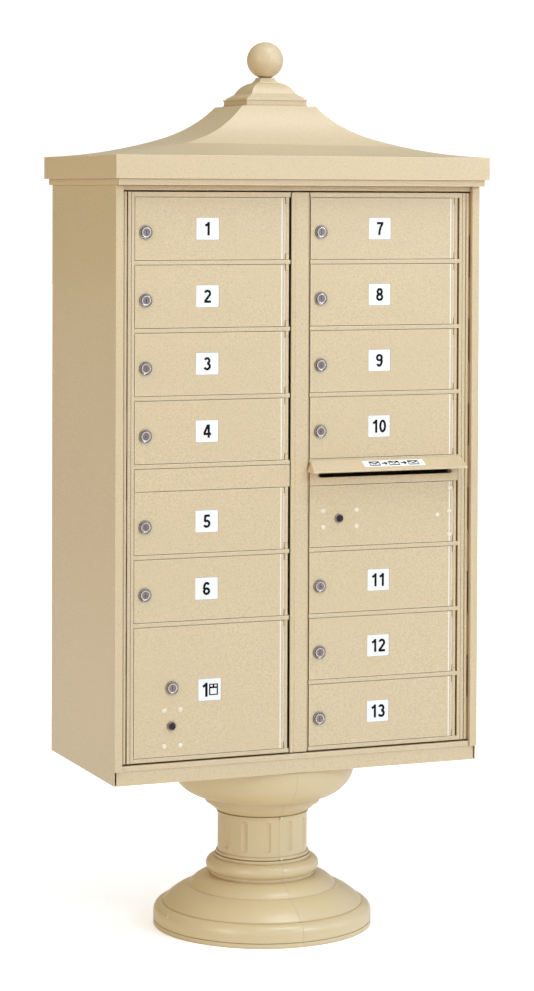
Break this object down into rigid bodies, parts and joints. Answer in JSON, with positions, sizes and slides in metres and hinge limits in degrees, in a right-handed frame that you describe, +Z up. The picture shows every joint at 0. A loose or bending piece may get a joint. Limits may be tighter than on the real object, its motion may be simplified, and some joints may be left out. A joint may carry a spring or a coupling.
{
  "type": "cluster mailbox unit",
  "caption": "Pedestal mailbox cabinet with locking compartment doors, a parcel locker, an outgoing mail slot under a hood, a concave hipped roof with a ball finial and a fluted column cover.",
  "frame": {"origin": "on the ground, at the middle of the roof's outline and the pedestal axis", "axes": "+Z up, the doors face -Y, +X to the right when facing the doors"},
  "size_m": [0.792, 0.455, 1.7914],
  "materials": {
    "body": "fine textured sandstone powder coat",
    "roof": "fine textured sandstone powder coat on a cast moulding",
    "cover": "smooth sandstone satin",
    "inner": "mill finish sheet",
    "steel_post": "sandstone powder coat",
    "lock": "bright plated with a brushed plug face",
    "carrier": "dark plated steel",
    "bar": "zinc plated steel",
    "screw": "small painted screw head"
  },
  "bodies": {
    "cabinet": {"left_side_panel": "body", "right_side_panel": "body", "back_panel": "body", "cabinet_top": "inner", "floor_pan": "body", "front_frame": "body", "centre_partition": "inner", "left_shelves": "inner", "right_shelves": "inner", "roof_shell": "roof", "finial_base": "roof", "finial_ball": "roof", "pedestal": "steel_post", "mounting_bolts": "bar", "pedestal_cover_left": "cover", "pedestal_cover_right": "cover", "cover_screws": "screw", "loading_hinges": "body"},
    "left_loading_door": {"left_door_frame": "body", "left_hinges": "body"},
    "right_loading_door": {"right_door_frame": "body", "right_hinges": "body", "mullion": "body", "hood": "body"},
    "left_latch_bar": {"left_latch_bar": "bar"},
    "right_latch_bar": {"right_latch_bar": "bar"},
    "tenant_door_01": {"tenant_door_01": "body"},
    "tenant_door_02": {"tenant_door_02": "body"},
    "tenant_door_03": {"tenant_door_03": "body"},
    "tenant_door_04": {"tenant_door_04": "body"},
    "tenant_door_05": {"tenant_door_05": "body"},
    "tenant_door_06": {"tenant_door_06": "body"},
    "tenant_door_07": {"tenant_door_07": "body"},
    "tenant_door_08": {"tenant_door_08": "body"},
    "tenant_door_09": {"tenant_door_09": "body"},
    "tenant_door_10": {"tenant_door_10": "body"},
    "tenant_door_11": {"tenant_door_11": "body"},
    "tenant_door_12": {"tenant_door_12": "body"},
    "tenant_door_13": {"tenant_door_13": "body"},
    "tenant_lock_01": {"tenant_lock_01": "lock"},
    "tenant_lock_02": {"tenant_lock_02": "lock"},
    "tenant_lock_03": {"tenant_lock_03": "lock"},
    "tenant_lock_04": {"tenant_lock_04": "lock"},
    "tenant_lock_05": {"tenant_lock_05": "lock"},
    "tenant_lock_06": {"tenant_lock_06": "lock"},
    "tenant_lock_07": {"tenant_lock_07": "lock"},
    "tenant_lock_08": {"tenant_lock_08": "lock"},
    "tenant_lock_09": {"tenant_lock_09": "lock"},
    "tenant_lock_10": {"tenant_lock_10": "lock"},
    "tenant_lock_11": {"tenant_lock_11": "lock"},
    "tenant_lock_12": {"tenant_lock_12": "lock"},
    "tenant_lock_13": {"tenant_lock_13": "lock"},
    "parcel_door": {"parcel_door": "body"},
    "outgoing_door": {"outgoing_door": "body"},
    "parcel_tenant_lock": {"parcel_tenant_lock": "lock"},
    "parcel_carrier_lock": {"parcel_carrier_lock": "carrier"},
    "outgoing_carrier_lock": {"outgoing_carrier_lock": "carrier"},
    "outgoing_bolt": {"outgoing_bolt": "bar"}
  },
  "joints": [
    {"name": "left_loading_hinge", "type": "hinge", "parent": "cabinet", "child": "left_loading_door", "pos_m": [-0.365, -0.1874, 0.934], "axis": [0, 0, -1], "range_deg": [0, 90]},
    {"name": "right_loading_hinge", "type": "hinge", "parent": "cabinet", "child": "right_loading_door", "pos_m": [0.365, -0.1874, 0.934], "axis": [0, 0, 1], "range_deg": [0, 90]},
    {"name": "left_latch_slide", "type": "slide", "parent": "left_loading_door", "child": "left_latch_bar", "axis": [0, 0, 1], "range_m": [0, 0.012]},
    {"name": "right_latch_slide", "type": "slide", "parent": "right_loading_door", "child": "right_latch_bar", "axis": [0, 0, 1], "range_m": [0, 0.012]},
    {"name": "tenant_door_01_hinge", "type": "hinge", "parent": "left_loading_door", "child": "tenant_door_01", "pos_m": [-0.0277, -0.1872, 1.4157], "axis": [0, 0, 1], "range_deg": [0, 110]},
    {"name": "tenant_door_02_hinge", "type": "hinge", "parent": "left_loading_door", "child": "tenant_door_02", "pos_m": [-0.0277, -0.1872, 1.2843], "axis": [0, 0, 1], "range_deg": [0, 110]},
    {"name": "tenant_door_03_hinge", "type": "hinge", "parent": "left_loading_door", "child": "tenant_door_03", "pos_m": [-0.0277, -0.1872, 1.1529], "axis": [0, 0, 1], "range_deg": [0, 110]},
    {"name": "tenant_door_04_hinge", "type": "hinge", "parent": "left_loading_door", "child": "tenant_door_04", "pos_m": [-0.0277, -0.1872, 1.0215], "axis": [0, 0, 1], "range_deg": [0, 110]},
    {"name": "tenant_door_05_hinge", "type": "hinge", "parent": "left_loading_door", "child": "tenant_door_05", "pos_m": [-0.0277, -0.1872, 0.8457], "axis": [0, 0, 1], "range_deg": [0, 110]},
    {"name": "tenant_door_06_hinge", "type": "hinge", "parent": "left_loading_door", "child": "tenant_door_06", "pos_m": [-0.0277, -0.1872, 0.7143], "axis": [0, 0, 1], "range_deg": [0, 110]},
    {"name": "tenant_door_07_hinge", "type": "hinge", "parent": "right_loading_door", "child": "tenant_door_07", "pos_m": [0.3395, -0.1872, 1.4157], "axis": [0, 0, 1], "range_deg": [0, 110]},
    {"name": "tenant_door_08_hinge", "type": "hinge", "parent": "right_loading_door", "child": "tenant_door_08", "pos_m": [0.3395, -0.1872, 1.2843], "axis": [0, 0, 1], "range_deg": [0, 110]},
    {"name": "tenant_door_09_hinge", "type": "hinge", "parent": "right_loading_door", "child": "tenant_door_09", "pos_m": [0.3395, -0.1872, 1.1529], "axis": [0, 0, 1], "range_deg": [0, 110]},
    {"name": "tenant_door_10_hinge", "type": "hinge", "parent": "right_loading_door", "child": "tenant_door_10", "pos_m": [0.3395, -0.1872, 1.0215], "axis": [0, 0, 1], "range_deg": [0, 110]},
    {"name": "tenant_door_11_hinge", "type": "hinge", "parent": "right_loading_door", "child": "tenant_door_11", "pos_m": [0.3395, -0.1872, 0.7143], "axis": [0, 0, 1], "range_deg": [0, 110]},
    {"name": "tenant_door_12_hinge", "type": "hinge", "parent": "right_loading_door", "child": "tenant_door_12", "pos_m": [0.3395, -0.1872, 0.5829], "axis": [0, 0, 1], "range_deg": [0, 110]},
    {"name": "tenant_door_13_hinge", "type": "hinge", "parent": "right_loading_door", "child": "tenant_door_13", "pos_m": [0.3395, -0.1872, 0.4515], "axis": [0, 0, 1], "range_deg": [0, 110]},
    {"name": "tenant_lock_01_turn", "type": "hinge", "parent": "tenant_door_01", "child": "tenant_lock_01", "pos_m": [-0.3235, -0.1915, 1.4087], "axis": [0, 1, 0], "range_deg": [0, 90]},
    {"name": "tenant_lock_02_turn", "type": "hinge", "parent": "tenant_door_02", "child": "tenant_lock_02", "pos_m": [-0.3235, -0.1915, 1.2773], "axis": [0, 1, 0], "range_deg": [0, 90]},
    {"name": "tenant_lock_03_turn", "type": "hinge", "parent": "tenant_door_03", "child": "tenant_lock_03", "pos_m": [-0.3235, -0.1915, 1.1459], "axis": [0, 1, 0], "range_deg": [0, 90]},
    {"name": "tenant_lock_04_turn", "type": "hinge", "parent": "tenant_door_04", "child": "tenant_lock_04", "pos_m": [-0.3235, -0.1915, 1.0145], "axis": [0, 1, 0], "range_deg": [0, 90]},
    {"name": "tenant_lock_05_turn", "type": "hinge", "parent": "tenant_door_05", "child": "tenant_lock_05", "pos_m": [-0.3235, -0.1915, 0.8387], "axis": [0, 1, 0], "range_deg": [0, 90]},
    {"name": "tenant_lock_06_turn", "type": "hinge", "parent": "tenant_door_06", "child": "tenant_lock_06", "pos_m": [-0.3235, -0.1915, 0.7073], "axis": [0, 1, 0], "range_deg": [0, 90]},
    {"name": "tenant_lock_07_turn", "type": "hinge", "parent": "tenant_door_07", "child": "tenant_lock_07", "pos_m": [0.0435, -0.1915, 1.4087], "axis": [0, 1, 0], "range_deg": [0, 90]},
    {"name": "tenant_lock_08_turn", "type": "hinge", "parent": "tenant_door_08", "child": "tenant_lock_08", "pos_m": [0.0435, -0.1915, 1.2773], "axis": [0, 1, 0], "range_deg": [0, 90]},
    {"name": "tenant_lock_09_turn", "type": "hinge", "parent": "tenant_door_09", "child": "tenant_lock_09", "pos_m": [0.0435, -0.1915, 1.1459], "axis": [0, 1, 0], "range_deg": [0, 90]},
    {"name": "tenant_lock_10_turn", "type": "hinge", "parent": "tenant_door_10", "child": "tenant_lock_10", "pos_m": [0.0435, -0.1915, 1.0145], "axis": [0, 1, 0], "range_deg": [0, 90]},
    {"name": "tenant_lock_11_turn", "type": "hinge", "parent": "tenant_door_11", "child": "tenant_lock_11", "pos_m": [0.0435, -0.1915, 0.7073], "axis": [0, 1, 0], "range_deg": [0, 90]},
    {"name": "tenant_lock_12_turn", "type": "hinge", "parent": "tenant_door_12", "child": "tenant_lock_12", "pos_m": [0.0435, -0.1915, 0.5759], "axis": [0, 1, 0], "range_deg": [0, 90]},
    {"name": "tenant_lock_13_turn", "type": "hinge", "parent": "tenant_door_13", "child": "tenant_lock_13", "pos_m": [0.0435, -0.1915, 0.4445], "axis": [0, 1, 0], "range_deg": [0, 90]},
    {"name": "parcel_door_hinge", "type": "hinge", "parent": "left_loading_door", "child": "parcel_door", "pos_m": [-0.0277, -0.1872, 0.5172], "axis": [0, 0, 1], "range_deg": [0, 110]},
    {"name": "outgoing_door_hinge", "type": "hinge", "parent": "right_loading_door", "child": "outgoing_door", "pos_m": [0.3395, -0.1872, 0.8457], "axis": [0, 0, 1], "range_deg": [0, 110]},
    {"name": "parcel_tenant_lock_turn", "type": "hinge", "parent": "parcel_door", "child": "parcel_tenant_lock", "pos_m": [-0.267, -0.1915, 0.5239], "axis": [0, -1, 0], "range_deg": [0, 90]},
    {"name": "parcel_carrier_lock_turn", "type": "hinge", "parent": "parcel_door", "child": "parcel_carrier_lock", "pos_m": [-0.268, -0.1915, 0.4499], "axis": [0, 1, 0], "range_deg": [0, 90]},
    {"name": "outgoing_carrier_lock_turn", "type": "hinge", "parent": "outgoing_door", "child": "outgoing_carrier_lock", "pos_m": [0.0845, -0.1915, 0.8406], "axis": [0, 1, 0], "range_deg": [0, 90]},
    {"name": "outgoing_bolt_slide", "type": "slide", "parent": "outgoing_door", "child": "outgoing_bolt", "axis": [-1, 0, 0], "range_m": [0, 0.014]}
  ],
  "couplings": [
    {"joint": "outgoing_bolt_slide", "follows": "outgoing_carrier_lock_turn", "m_per_rad": 0.0089127}
  ]
}
